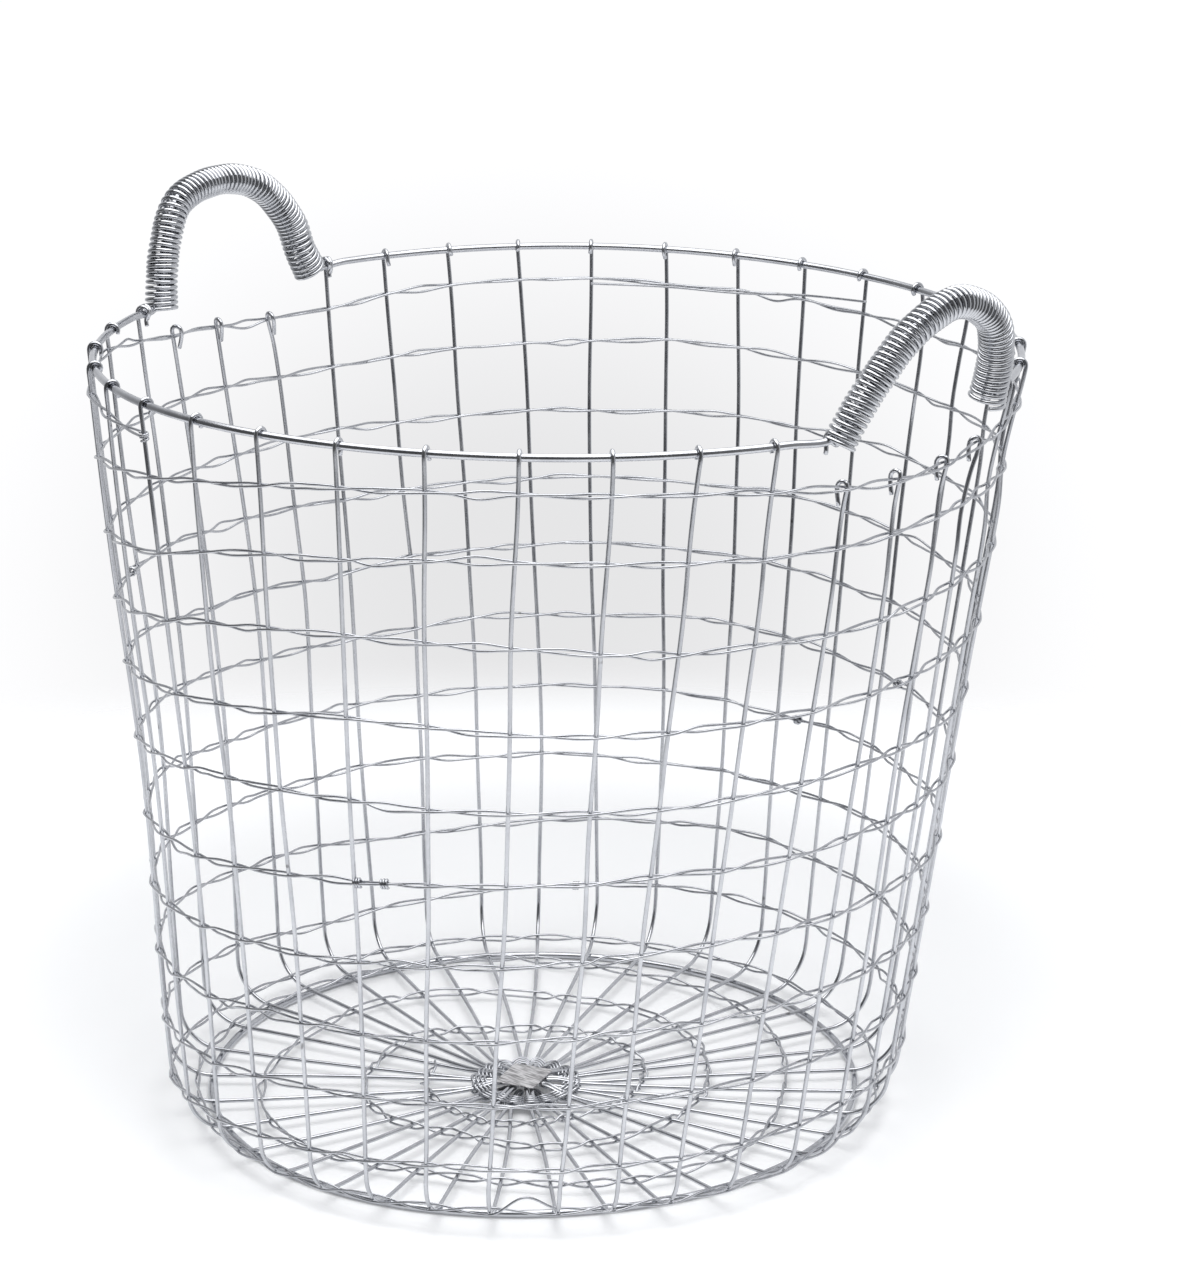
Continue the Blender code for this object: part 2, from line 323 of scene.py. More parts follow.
def add_wire(name, wires, material, around=12):
    """One object from a few wires. A wire is its path, its radius and whether it's closed."""
    all_points, all_faces, used = [], [], 0
    for path, radius, closed in wires:
        points, quads, caps = tube_arrays(path, radius, around, closed)
        all_points.append(points)
        all_faces += (quads + used).tolist() + [[used + v for v in cap] for cap in caps]
        used += len(points)
    mesh = bpy.data.meshes.new(name)
    mesh.from_pydata(np.vstack(all_points).tolist(), [], all_faces)
    mesh.materials.append(material)
    mesh.shade_smooth()
    return linked(name, mesh)


def stand_for(obj, slot, *nodes):
    """Ties a new piece to the basket's one body and to the CAD nodes it shows. Its finish, the
    slot, is not used.
    """
    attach(obj, "root")
    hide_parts(*nodes)


# ---- materials


def new_material(name):
    material = bpy.data.materials.new(name)
    material.use_nodes = True
    tree = material.node_tree
    return material, tree, tree.nodes["Principled BSDF"]


def fill(tree, node, inputs):
    """Sets a node's inputs, each to a value or to another node's output."""
    for socket, value in inputs.items():
        if isinstance(value, bpy.types.NodeSocket):
            tree.links.new(value, node.inputs[socket])
        else:
            node.inputs[socket].default_value = value


def new_node(tree, kind, inputs, **settings):
    node = tree.nodes.new("ShaderNode" + kind)
    for setting, value in settings.items():
        setattr(node, setting, value)
    fill(tree, node, inputs)
    return node


def noise(tree, place, scale, detail, roughness):
    inputs = {"Vector": place, "Scale": scale, "Detail": detail, "Roughness": roughness}
    return new_node(tree, "TexNoise", inputs).outputs["Fac"]


def ramp(tree, factor, stops):
    """A colour ramp with two stops, each a position and a colour."""
    node = new_node(tree, "ValToRGB", {"Fac": factor})
    for element, (position, colour) in zip(node.color_ramp.elements, stops):
        element.position = position
        element.color = (*colour, 1.0)
    return node.outputs["Color"]


def mixed(tree, factor, first, second, blend="MIX"):
    inputs = {"Factor": factor, 6: first, 7: second}
    return new_node(tree, "Mix", inputs, data_type="RGBA", blend_type=blend).outputs[2]


def ranged(tree, value, low, high, first, last, kind="SMOOTHSTEP"):
    """Turns a value between low and high into one between first and last."""
    inputs = {"Value": value, "From Min": low, "From Max": high, "To Min": first, "To Max": last}
    return new_node(tree, "MapRange", inputs, interpolation_type=kind).outputs["Result"]


def vector_math(tree, operation, first, second, output="Value"):
    node = new_node(tree, "VectorMath", {0: first, 1: second}, operation=operation)
    return node.outputs[output]


def bumped(tree, height, strength, distance):
    inputs = {"Height": height, "Strength": strength, "Distance": distance}
    return new_node(tree, "Bump", inputs).outputs["Normal"]


def grey(value):
    return (value, value, value)


def zinc_material(name, light, dark, rough, speck=0.76, bump=0.00002, fine_dark=0.93):
    """Zinc-plated steel: cloudy plating, a drawn grain, fine pits, and a few dark specks."""
    material, tree, shader = new_material(name)
    place = new_node(tree, "TexCoord", {}).outputs["Object"]
    clouds = noise(tree, place, 55.0, 3.0, 0.6)
    plating = ramp(tree, clouds, ((0.30, dark), (0.62, light)))
    fine = noise(tree, place, 640.0, 2.0, 0.6)
    shade = ramp(tree, fine, ((0.30, grey(fine_dark)), (0.70, grey(1.0))))
    colour = mixed(tree, 1.0, plating, shade, "MULTIPLY")
    spots = noise(tree, place, 130.0, 1.0, 0.4)
    mask = ramp(tree, spots, ((speck, grey(0.0)), (speck + 0.035, grey(0.6))))
    grain = noise(tree, place, 1900.0, 3.0, 0.7)
    inputs = {
        "Base Color": mixed(tree, mask, colour, (0.06, 0.055, 0.05, 1.0)),
        "Metallic": 1.0,
        "Roughness": ranged(tree, clouds, 0.3, 0.7, *rough, kind="LINEAR"),
        "Normal": bumped(tree, grain, 0.25, bump),
    }
    fill(tree, shader, inputs)
    return material


def tag_material():
    """A blank rolled plate: brushed lines along its length, a few dull patches."""
    material, tree, shader = new_material("brushed_plate")
    place = new_node(tree, "TexCoord", {}).outputs["Object"]
    inputs = {"Vector": place, "Rotation": (0.0, 0.0, -TAG_TURN), "Scale": (120.0, 1100.0, 60.0)}
    along = new_node(tree, "Mapping", inputs).outputs["Vector"]
    lines = noise(tree, along, 1.0, 3.0, 0.6)
    dull = noise(tree, place, 160.0, 3.0, 0.6)
    strokes = ramp(tree, lines, ((0.38, (0.30, 0.295, 0.30)), (0.56, (0.82, 0.81, 0.82))))
    patches = ramp(tree, dull, ((0.35, (0.85, 0.84, 0.84)), (0.65, grey(1.0))))
    inputs = {
        "Base Color": mixed(tree, 1.0, strokes, patches, "MULTIPLY"),
        "Metallic": 1.0,
        "Roughness": 0.42,
        "Normal": bumped(tree, lines, 0.5, 0.00003),
    }
    fill(tree, shader, inputs)
    return material


# ---- ribs

# The three waves below are a least-squares program's output, rounded


def rib_drift(bearing):
    """How far a rib's hook has strayed round the rim."""
    waves = ((1, 1.3, 170.0), (2, 2.4, 96.5), (3, 1.1, 53.0), (4, 0.7, 17.5))
    return -0.8 + harmonic(bearing, waves)


def foot_drift(bearing):
    """How far a rib's foot has strayed round the base: the whole base sits a little turned."""
    return -2.9 + harmonic(bearing, ((1, 2.6, -98.0), (2, 0.9, 53.0), (3, 1.0, -23.0)))


def rib_bow(bearing):
    """How far a rib bows sideways halfway up."""
    return -0.4 + harmonic(bearing, ((1, 0.8, -40.0), (2, 0.5, -82.0)))


# Ribs that end in an eye round the top row, under the handles, and the bearings of those eyes
SHORT_HOOKS = {0: -36.0, 1: -31.2, 34: -53.5, 35: -45.2, 17: 135.0, 18: 146.0, 19: 155.5}

# Ribs bent more than the rest: extra bow in degrees (most are left over from that same fit), and
# an extra bend near the top in degrees, with its height and its width
BOWED_RIBS = {
    0: -0.4, 6: 0.4, 7: -0.9, 10: -0.8, 12: 1.0, 13: -0.5, 16: 1.1, 18: -0.5, 19: -0.6, 25: 1.7,
    32: -0.8,
}
TOP_BENDS = {1: (3.0, 0.400, 0.028), 7: (-1.5, 0.385, 0.03), 17: (0.7, 0.400, 0.014)}
# How far some pairs have strayed at the hub, and some ribs at the foot, in degrees
PAIR_STRAYS = {5: 3.0, 7: 9.0, 8: 6.0, 14: -4.0, 15: -3.0, 16: -5.0}
FOOT_STRAYS = {0: 0.9, 1: 0.5, 31: 1.0, 33: -0.5, 34: -0.4, 35: 0.8}

# A short rib's eye: how high it stands over the top row, and its radius. A hook: its tail's length
EYE_RISE = (0.0030, 0.0055)
EYE_RADIUS = (0.0026, 0.0031)
HOOK_TAIL = (0.0015, 0.0055)


def ideal_bearing(index):
    return (FIRST_RIB + STEP * index + 180.0) % 360.0 - 180.0


def top_bearing(index):
    if index in SHORT_HOOKS:
        return SHORT_HOOKS[index]
    bearing = ideal_bearing(index)
    return bearing + rib_drift(bearing)


def foot_bearing(index):
    bearing = ideal_bearing(index)
    return bearing + foot_drift(bearing) + FOOT_STRAYS.get(index, 0.0)


def wall_lean():
    """The angle between the wall and a plumb line."""
    rise = RIM_Z - SPOKE_Z - CORNER_RADIUS
    return math.atan2(RIM_R + RIM_LOOP - CORNER_START_R - CORNER_RADIUS, rise)


SWEEP = math.pi / 2.0 - wall_lean()
WALL_FOOT_Z = SPOKE_Z + CORNER_RADIUS * (1.0 - math.cos(SWEEP))
WALL_FOOT_R = CORNER_START_R + CORNER_RADIUS * math.sin(SWEEP)


def facing(bearing, middle):
    """One where the bearing is the middle one, falling to nothing a quarter turn away."""
    return max(0.0, math.cos(math.radians(bearing - middle))) ** 2


def foot_squeeze(bearing):
    """How far the base falls short of a circle: at the front, and a little at the right."""
    return 0.0035 * facing(bearing, -85.0) + 0.0018 * facing(bearing, -20.0)


def wall_hollow(bearing, height):
    """How far the wall is pressed in: halfway up at the left, and below the rim at the right."""
    left = 0.0042 * bell(height, 0.20, 0.10) * facing(bearing, 175.0)
    right = 0.0010 * bell(height, 0.25, 0.10) + 0.0030 * bell(height, 0.378, 0.022)
    return left + right * facing(bearing, -15.0)


def rib_wall_point(index, height):
    """The middle of a rib on the wall, at a height between the corner bend and the rim."""
    share = (height - WALL_FOOT_Z) / (RIM_Z - WALL_FOOT_Z)
    foot, top = foot_bearing(index), top_bearing(index)
    arch = 4.0 * share * (1.0 - share)
    bearing = foot + (top - foot) * share + arch * (rib_bow(top) + BOWED_RIBS.get(index, 0.0))
    if index in TOP_BENDS:
        lean, middle, width = TOP_BENDS[index]
        bearing += lean * bell(height, middle, width)
    slow, quick, fast, out = RIB_SWAY[index]
    wave = slow * math.sin(2.0 * math.pi * share) + quick * math.sin(3.0 * math.pi * share)
    bearing += arch * wave + fast * math.sin(7.0 * math.pi * share)
    low = WALL_FOOT_R - foot_squeeze(foot)
    radius = low + (rim_radius(top) + RIM_LOOP - low) * share + out * arch
    radius -= wall_hollow(bearing, height)
    return on_wall(radius, bearing, height)


def sway_of(index):
    """Leftovers of hand straightening: three sideways waves in degrees, and a bow in or out."""
    pick = random.Random(500 + index)
    return (
        pick.uniform(-0.35, 0.35),
        pick.uniform(-0.25, 0.25),
        pick.uniform(-0.10, 0.10),
        pick.uniform(-0.0006, 0.0006),
    )


RIB_SWAY = [sway_of(index) for index in range(RIBS)]


def rib_corner_point(index, turn):
    """The middle of a rib in the bend at its foot, after turning up through an angle."""
    radius = corner_start(index) + CORNER_RADIUS * math.sin(turn)
    height = SPOKE_Z + CORNER_RADIUS * (1.0 - math.cos(turn))
    return on_wall(radius, foot_bearing(index), height)


def corner_start(index):
    """How far out a spoke ends and its corner bend begins."""
    return CORNER_START_R - foot_squeeze(foot_bearing(index))


def hub_centre():
    return shift(HUB_OFFSET[0], HUB_OFFSET[1]) + axis_shift(0.0)


def pair_of(index):
    """Each hairpin makes ribs 2 * pair + 1 and 2 * pair + 2, so rib 0 belongs to the last one."""
    return (index - 1) % RIBS // 2


def pair_direction(pair):
    """Bearing of a pair of spokes, from the hub to halfway between their two corners."""
    first = on_wall(CORNER_START_R, foot_bearing(2 * pair + 1), 0.0)
    second = on_wall(CORNER_START_R, foot_bearing((2 * pair + 2) % RIBS), 0.0)
    return bearing_of((first + second) / 2.0, hub_centre()) + PAIR_STRAYS.get(pair, 0.0)


def spoke_ends(index):
    """A spoke's outer end at the corner, and its inner end beside its partner at the hub."""
    outer = on_wall(corner_start(index), foot_bearing(index), 0.0)
    direction = pair_direction(pair_of(index))
    side = -1.0 if index % 2 else 1.0
    inner = hub_centre() + polar(HUB_R + 0.003, direction)
    inner += polar(side * HUB_PAIR_HALF, direction + 90.0)
    return outer, inner


def spoke_point(index, share):
    """From the hub at 0 to the corner at 1, with the small bow of a hand-straightened wire."""
    outer, inner = spoke_ends(index)
    point = inner.lerp(outer, share)
    run = (outer - inner).normalized()
    across = Vector((-run.y, run.x, 0.0))
    bow = random.Random(900 + index).uniform(-0.002, 0.002)
    return point + across * bow * math.sin(math.pi * share) + Vector((0, 0, SPOKE_Z))


def rib_eye(index):
    """The cut end of a short rib: up past the top row, over it, and down inside to the rib."""
    pick = random.Random(100 + index)
    top = row_height(len(ROWS), top_bearing(index)) + pick.uniform(*EYE_RISE)
    radius = pick.uniform(*EYE_RADIUS)
    start = rib_wall_point(index, top - radius)
    bearing = bearing_of(start, axis_shift(top))
    inward = -polar(1.0, bearing + pick.uniform(-20.0, 20.0))
    rib = (start - rib_wall_point(index, top - radius - 0.01)).normalized()
    middle = start + inward * radius
    points = [rib_wall_point(index, top - radius - 0.005), start]
    for step in range(1, 7):
        turn = math.pi * step / 6.0
        points.append(middle - inward * radius * math.cos(turn) + rib * radius * math.sin(turn))
    slant = -rib * 0.0105 - inward * radius * 1.3
    points.append(points[-1] + slant * 0.35 + inward * radius * 0.25)
    points.append(points[-1] + slant * 0.6)
    return points


def rib_hook(index):
    """The cut end of a long rib: out past the rim, over it, and a short way down inside."""
    pick = random.Random(100 + index)
    bearing = top_bearing(index)
    centre = on_wall(rim_radius(bearing), bearing, RIM_Z)
    outward = polar(1.0, bearing)
    up = Vector((0.0, 0.0, 1.0))
    points = []
    for step in range(9):
        turn = math.pi * step / 8.0
        points.append(centre + RIM_LOOP * (math.cos(turn) * outward + math.sin(turn) * up))
    tail = points[-1]
    length = pick.uniform(*HOOK_TAIL)
    aside = polar(pick.uniform(-0.0012, 0.0012), bearing + 90.0)
    points.append(tail - up * length * 0.5 + outward * 0.0002 + aside * 0.4)
    points.append(tail - up * length + outward * pick.uniform(-0.0004, 0.0012) + aside)
    return points


def rib_leg(index):
    """One rib from the hub outwards: spoke, corner bend, wall and hook."""
    points = [spoke_point(index, share) for share in (0.0, 0.25, 0.5, 0.75)]
    points += [rib_corner_point(index, SWEEP * step / 6.0) for step in range(6)]
    points.append(rib_wall_point(index, WALL_FOOT_Z))
    ending = rib_eye(index) if index in SHORT_HOOKS else rib_hook(index)
    top = ending[0].z - 0.010
    steps = 18
    for step in range(1, steps + 1):
        points.append(rib_wall_point(index, WALL_FOOT_Z + (top - WALL_FOOT_Z) * step / steps))
    return points + ending


def hub_turn(pair):
    """The pair's wire inside the hub: in beside itself, round a tight bend, and out again."""
    direction = pair_direction(pair)
    centre = hub_centre()
    level = SPOKE_Z + (PAIR_RISE if pair % 2 else 0.0)
    across = polar(HUB_PAIR_HALF, direction + 90.0)
    middles = []
    for reach in HUB_TURN_REACHES:
        rise = (SPOKE_Z + level) / 2.0 if reach == HUB_TURN_REACHES[0] else level
        middles.append(centre + polar(reach, direction, rise))
    tip = centre + polar(HUB_TURN_TIP, direction, level)
    return [m - across for m in middles] + [tip] + [m + across for m in middles[::-1]]


def add_ribs(material):
    for pair in range(PAIRS):
        inward = rib_leg(2 * pair + 1)[::-1]
        points = inward + hub_turn(pair) + rib_leg((2 * pair + 2) % RIBS)
        path = smooth_path(points, False, 0.0022)
        obj = add_wire(f"rib_wire_{pair + 1:02d}", [(path, RIB_WIRE, False)], material, 12)
        stand_for(obj, "bright_wire", f"rib_pair_{pair + 1:02d}")


# ---- the weave

# The weave is one long spiral of two strands, from the hub out over the base, up round the
# corner and up the wall. It climbs from one row to the next at the left.
SEAM_RIB = 25
SEAM = 213.7
CLIMB = (147.0, 250.0)

# How many crossings it makes before the seam, and on how many it passes ribs pair by pair
LEAD_IN = 5
PAIRED = 2 * RIBS

# Out over the base: total bearing turned, and how far out the strands are, in millimetres.
# Picked in the photograph, carried over by a program, then thinned and rounded
BASE_SPIRAL = (
    (157, 56), (205, 65), (250, 71), (310, 62), (460, 61), (510, 86), (570, 100), (600, 91),
    (640, 99), (720, 97), (800, 106), (865, 136), (930, 157), (970, 140), (1030, 151), (1075, 140),
    (1150, 154), (1200, 173), (1260, 187), (1330, 192), (1500, 190), (1660, 193),
)

# Up the wall: each row's height from the matching CAD row, and its slow waves, in millimetres.
# A least-squares program's output, rounded, which is an open fault
ROWS = (
    (-2.2, ((1, 1.5, -10), (2, 1.5, 15), (3, 2.0, 50), (4, 1.0, -20))),
    (0.7, ((1, 2.0, 70), (2, 2.0, 0), (3, 3.0, 50), (4, 1.5, -15))),
    (1.6, ((1, 3.0, 100), (2, 3.0, -25), (3, 1.5, 50), (4, 0.5, 10))),
    (1.0, ((1, 3.0, 65), (2, 3.0, -30), (3, 2.5, 55), (4, 1.0, 0))),
    (0.5, ((1, 4.0, 50), (2, 1.5, -35), (3, 2.5, 50), (4, 1.5, -10))),
    (0.5, ((1, 2.5, 80), (2, 2.0, 20), (3, 2.0, -45), (4, 0.5, 5))),
    (-3.2, ((1, 3.0, 80), (2, 0.5, 25), (3, 0.5, 35), (4, 1.5, -25))),
    (-5.5, ((1, 3.0, 40), (2, 2.0, 65), (3, 2.0, 10), (4, 2.0, -30))),
    (-4.9, ((1, 4.0, 0), (2, 2.5, -85), (3, 1.5, 25), (4, 2.5, -20))),
    (-3.1, ((1, 0.5, 0), (2, 1.5, 65), (3, 1.0, 30), (4, 2.5, -5))),
)
# Places where a row was beaten down, or lifted, by hand: millimetres, bearing and width
ROW_DENTS = {1: ((-4.5, 150.0, 38.0), (-4.0, 130.0, 9.0)), 10: ((-2.0, -42.0, 18.0),)}

# The last of the weave runs higher than the rest of the top row, to its knot
TOP_ROW_LIFT = 9.5
CORNER_Z = SPOKE_Z + CORNER_RADIUS * (1.0 - math.cos(math.asin(0.0155 / CORNER_RADIUS)))


def row_level(row, bearing):
    """A row's height, leaving out the climb to the next row. Row 0 is the corner row."""
    if row == 0:
        return CORNER_Z
    offset, waves = ROWS[row - 1]
    ripple = wander(60 + row, 0.0009, 6, 14)
    for size, middle, width in ROW_DENTS.get(row, ()):
        offset += size * bell(bearing, middle, width)
    if row == len(ROWS):
        offset += TOP_ROW_LIFT * min(1.0, max(0.0, (bearing - 148.0) / 26.0))
    cad_height = middle_height(f"wall_row_{row:02d}_a")
    return cad_height + (offset + harmonic(bearing, waves)) / 1000.0 + ripple(bearing)


def row_height(row, bearing):
    """The height of a row, from the seam at -146.3 degrees round to the seam again at 213.7."""
    start, stop = CLIMB
    if bearing > start and row < len(ROWS):
        below, above, along = row_level(row, bearing), row_level(row + 1, bearing - 360.0), bearing
    elif bearing < stop - 360.0 and row > 0:
        along = bearing + 360.0
        below, above = row_level(row - 1, along), row_level(row, bearing)
    else:
        return row_level(row, bearing)
    return below + (above - below) * eased((along - start) / (stop - start))


def spiral_radius(turned):
    """How far out the strands are on the base, after turning through so many degrees."""
    for (first, inner), (second, outer) in zip(BASE_SPIRAL, BASE_SPIRAL[1:]):
        if turned <= second:
            share = eased((turned - first) / (second - first))
            return (inner + (outer - inner) * share) / 1000.0
    return BASE_SPIRAL[-1][1] / 1000.0


def wall_crossing(index, height):
    """Where a strand pair crosses a rib, with the directions out of the basket and up the rib."""
    if height < WALL_FOOT_Z:
        turn = math.acos(1.0 - max(0.0, height - SPOKE_Z) / CORNER_RADIUS)
        return corner_crossing(index, turn)
    point = rib_wall_point(index, height)
    rise = (rib_wall_point(index, height + 0.01) - point).normalized()
    out = polar(1.0, bearing_of(point, axis_shift(height)))
    return point, (out - out.dot(rise) * rise).normalized(), rise


def corner_crossing(index, turn):
    """As wall_crossing, in the bend at the rib's foot."""
    point = rib_corner_point(index, turn)
    bearing = foot_bearing(index)
    out = polar(math.sin(turn), bearing, -math.cos(turn))
    rise = polar(math.cos(turn), bearing, math.sin(turn))
    return point, out, rise


def base_crossing(index, radius):
    """As wall_crossing, on the base: out is down there, and up the rib is away from the hub."""
    if radius > corner_start(index):
        past = min(0.95, (radius - corner_start(index)) / CORNER_RADIUS)
        return corner_crossing(index, math.asin(past))
    middle = axis_shift(0.0)
    low, high = 0.0, 1.0
    for _ in range(20):
        share = (low + high) / 2.0
        point = spoke_point(index, share)
        if (Vector((point.x, point.y, 0.0)) - middle).length < radius:
            low = share
        else:
            high = share
    run = spoke_point(index, 1.0) - spoke_point(index, 0.0)
    return spoke_point(index, (low + high) / 2.0), Vector((0, 0, -1)), run.normalized()


def spiral_crossing(place):
    """The crossing number place, counted along the spiral from the seam rib's first one."""
    index = (SEAM_RIB + place) % RIBS
    turned = SEAM + STEP * place
    lap = place // RIBS
    row = min(lap - 3, len(ROWS))
    bearing = turned - 360.0 * (row + 4)
    if row < 0 or (row == 0 and bearing < CLIMB[0]):
        return base_crossing(index, spiral_radius(turned))
    return wall_crossing(index, row_height(row, bearing))


def catmull(before, start, stop, after, t):
    """A point on the curve from start to stop that keeps to its neighbours' directions."""
    return 0.5 * (
        2.0 * start
        + (stop - before) * t
        + (2.0 * before - 5.0 * start + 4.0 * stop - after) * t * t
        + (3.0 * start - before - 3.0 * stop + after) * t * t * t
    )


def side_at(place, strand):
    """1 outside a rib, -1 inside it. On the first laps a pair's two ribs are passed together."""
    passed = place if place >= PAIRED else PAIRED // 2 + place // 2
    return 1.0 if (passed + strand) % 2 else -1.0


def strand_span(crossings, place, strand):
    """One strand from one rib to the next: it passes the two ribs on opposite sides."""
    before, (here, out, rise), (there, next_out, next_rise), after = crossings
    pick = random.Random(7000 + place)
    slack = LOOSENESS * pick.random() ** 2
    late = pick.uniform(-0.16, 0.16)
    lopsided = pick.uniform(-1.2, 1.2)
    sag = pick.uniform(-0.0005, 0.0007)
    own = [pick.uniform(-0.5, 0.5) * LOOSENESS * 0.6 for _ in range(2)][strand]
    sign = side_at(place, strand)
    crosses = sign != side_at(place + 1, strand)
    if place < PAIRED:
        slack += 0.0016
    points = []
    for step in range(SPAN_STEPS):
        share = step / SPAN_STEPS
        straight = here.lerp(there, share)
        point = straight.lerp(catmull(before, here, there, after, share), 0.5)
        bulge = math.sin(math.pi * share)
        turn = math.pi * (share + late * bulge * bulge) if crosses else 0.0
        normal = out.lerp(next_out, share).normalized()
        up = rise.lerp(next_rise, share).normalized()
        parting = math.sin(math.pi * share + lopsided) ** 2
        apart = (WEAVE_WIRE + TOUCH) + slack * bulge * parting * 0.5
        point = point + sign * WEAVE_REACH * math.cos(turn) * normal
        point = point + (sign * apart * math.sin(turn) + (own - sag) * bulge * bulge) * up
        point.z += STRAND_LOOPS.get((place, strand), 0.0) * bulge * bulge
        points.append(point)
    return points


def strand_path(first, last, strand):
    """One strand from crossing first to crossing last."""
    crossings = [spiral_crossing(place) for place in range(first - 1, last + 2)]
    points = []
    for place in range(first, last):
        k = place - first + 1
        four = (crossings[k - 1][0], crossings[k], crossings[k + 1], crossings[k + 2][0])
        points += strand_span(four, place, strand)
    _, out, _ = crossings[-2]
    points.append(crossings[-2][0] + side_at(last, strand) * WEAVE_REACH * out)
    return points


def knot_round(place, strand):
    """The end of a strand, wound round the rib it stops at."""
    centre, out, rise = spiral_crossing(place)
    side = rise.cross(out)
    outside = (place + strand) % 2
    points = []
    for step in range(1, 16 - 5 * strand):
        angle = 0.2 * math.pi * step if outside else math.pi - 0.2 * math.pi * step
        drop = rise * (0.00018 * step * (1.0 if strand else -1.0))
        spoke = math.cos(angle) * out + math.sin(angle) * side
        points.append(centre + WEAVE_REACH * spoke + drop)
    return points


# A loose straight end at the back: the ribs it passes and how high it is there
FREE_END = ((12, 0.4010), (11, 0.4010), (10, 0.4012), (9, 0.4053), (8, 0.4084))


def free_end():
    """The loose end, which passes inside its ribs and stops a little past the last."""
    points = []
    for index, height in FREE_END:
        point, out, _ = wall_crossing(index, height)
        points.append(point - out * WEAVE_REACH)
    points.append(points[-1] + (points[-1] - points[-2]) * 0.06)
    return smooth_path(points, False, 0.0015)


# Where a new wire was joined in: the row, the bearing of the rib before it, and the share of
# the way on to the next rib
JOINTS = (
    (5, -116.3, 0.05), (5, -116.3, 0.42), (4, 43.7, 0.60), (5, 23.7, 0.45), (1, 83.7, 0.35),
    (7, 173.7, 0.30),
)


def joint_wires(row, strands):
    """Short tight windings of thin wire round both strands."""
    wires = []
    pair = (np.array(strands[0]) + np.array(strands[1])) / 2.0
    for joint_row, bearing, share in JOINTS:
        if joint_row != row:
            continue
        ribs_on = round((bearing - SEAM) / STEP) % RIBS
        first = SPAN_STEPS * ribs_on + int(SPAN_STEPS * share)
        axis = smooth_path(pair[first : first + 4], False, 0.0003)
        tangents, sides, others = tube_frames(axis, False)
        path = []
        for step in range(31):
            place = min(len(axis) - 1, int(step * 0.0014 / 12.0 / 0.0003))
            angle = 2.0 * math.pi * step / 12.0
            across = math.cos(angle) * sides[place] + math.sin(angle) * others[place]
            path.append(axis[0] + tangents[0] * step * 0.0014 / 12.0 + 0.0022 * across)
        wires.append((np.array(path), WEAVE_WIRE * 0.9, False))
    return wires


def add_weave(material):
    """The spiral, cut at the seam into one lap for each CAD row."""
    walls = [f"wall_row_{row + 1:02d}" for row in range(len(ROWS))]
    laps = ["base_row_1", "base_row_2", "base_row_3", "corner_row", *walls]
    for lap, name in enumerate(laps):
        first, last = RIBS * lap, RIBS * (lap + 1)
        if lap == 0:
            first -= LEAD_IN
        row = lap + 1 + len(ROWS) - len(laps)
        strands = [strand_path(first, last, strand) for strand in range(2)]
        extra = joint_wires(row, strands) if row > 0 else []
        if row == len(ROWS):
            strands = [points + knot_round(last, strand) for strand, points in enumerate(strands)]
            extra.append((free_end(), WEAVE_WIRE, False))
        for label, points in zip("ab", strands):
            wires = [(smooth_path(points, False, 0.0012), WEAVE_WIRE, False)]
            obj = add_wire(f"twined_{name}_{label}", wires + extra, material, 8)
            stand_for(obj, "weave_wire", f"{name}_{label}")
            extra = []


# ---- rim, handles and coils


def bow_frame(bow):
    """Where the bow's legs stand, with the directions along its chord and up its lean."""
    first = on_wall(rim_radius(bow["legs"][0]), bow["legs"][0], RIM_Z)
    last = on_wall(rim_radius(bow["legs"][1]), bow["legs"][1], RIM_Z)
    along = (last - first).normalized()
    outward = (first + last) / 2.0 - axis_shift(RIM_Z)
    outward.z = 0.0
    outward = (outward - outward.dot(along) * along).normalized()
    lean = math.radians(bow["lean"])
    up = outward * math.sin(lean) + Vector((0, 0, math.cos(lean)))
    return first, last, along, up


def bow_points(bow, rise=0.0):
    """The bow's points in the frame, from its first leg to its last. The rise lifts the crown."""
    first, last, along, up = bow_frame(bow)
    chord = (last - first).length
    width = bow["outline"][-1][0]
    top = max(height for _, height in bow["outline"])
    points = []
    for across, height in bow["outline"]:
        lift = rise * (height / top) ** 2
        points.append(first + along * chord * across / width + up * (height / 1000.0 + lift))
    return points


def add_rim(material):
    """One closed wire: the rim between the handles, and both bows."""
    points = []
    for bow, stop in ((RIGHT_BOW, LEFT_BOW["legs"][0]), (LEFT_BOW, RIGHT_BOW["legs"][0] + 360.0)):
        points += bow_points(bow, CROWN_LIFT)[1:-1]
        start = bow["legs"][1]
        count = int((stop - start) / 6.0)
        for step in range(count + 1):
            bearing = start + RIM_GAP + (stop - start - 2.0 * RIM_GAP) * step / count
            points.append(on_wall(rim_radius(bearing), bearing, RIM_Z))
    path = smooth_path(points, True, 0.0024)
    obj = add_wire("rim_and_bows", [(path, RIM_WIRE, True)], material, 20)
    stand_for(obj, "bright_wire", "rim_wire")


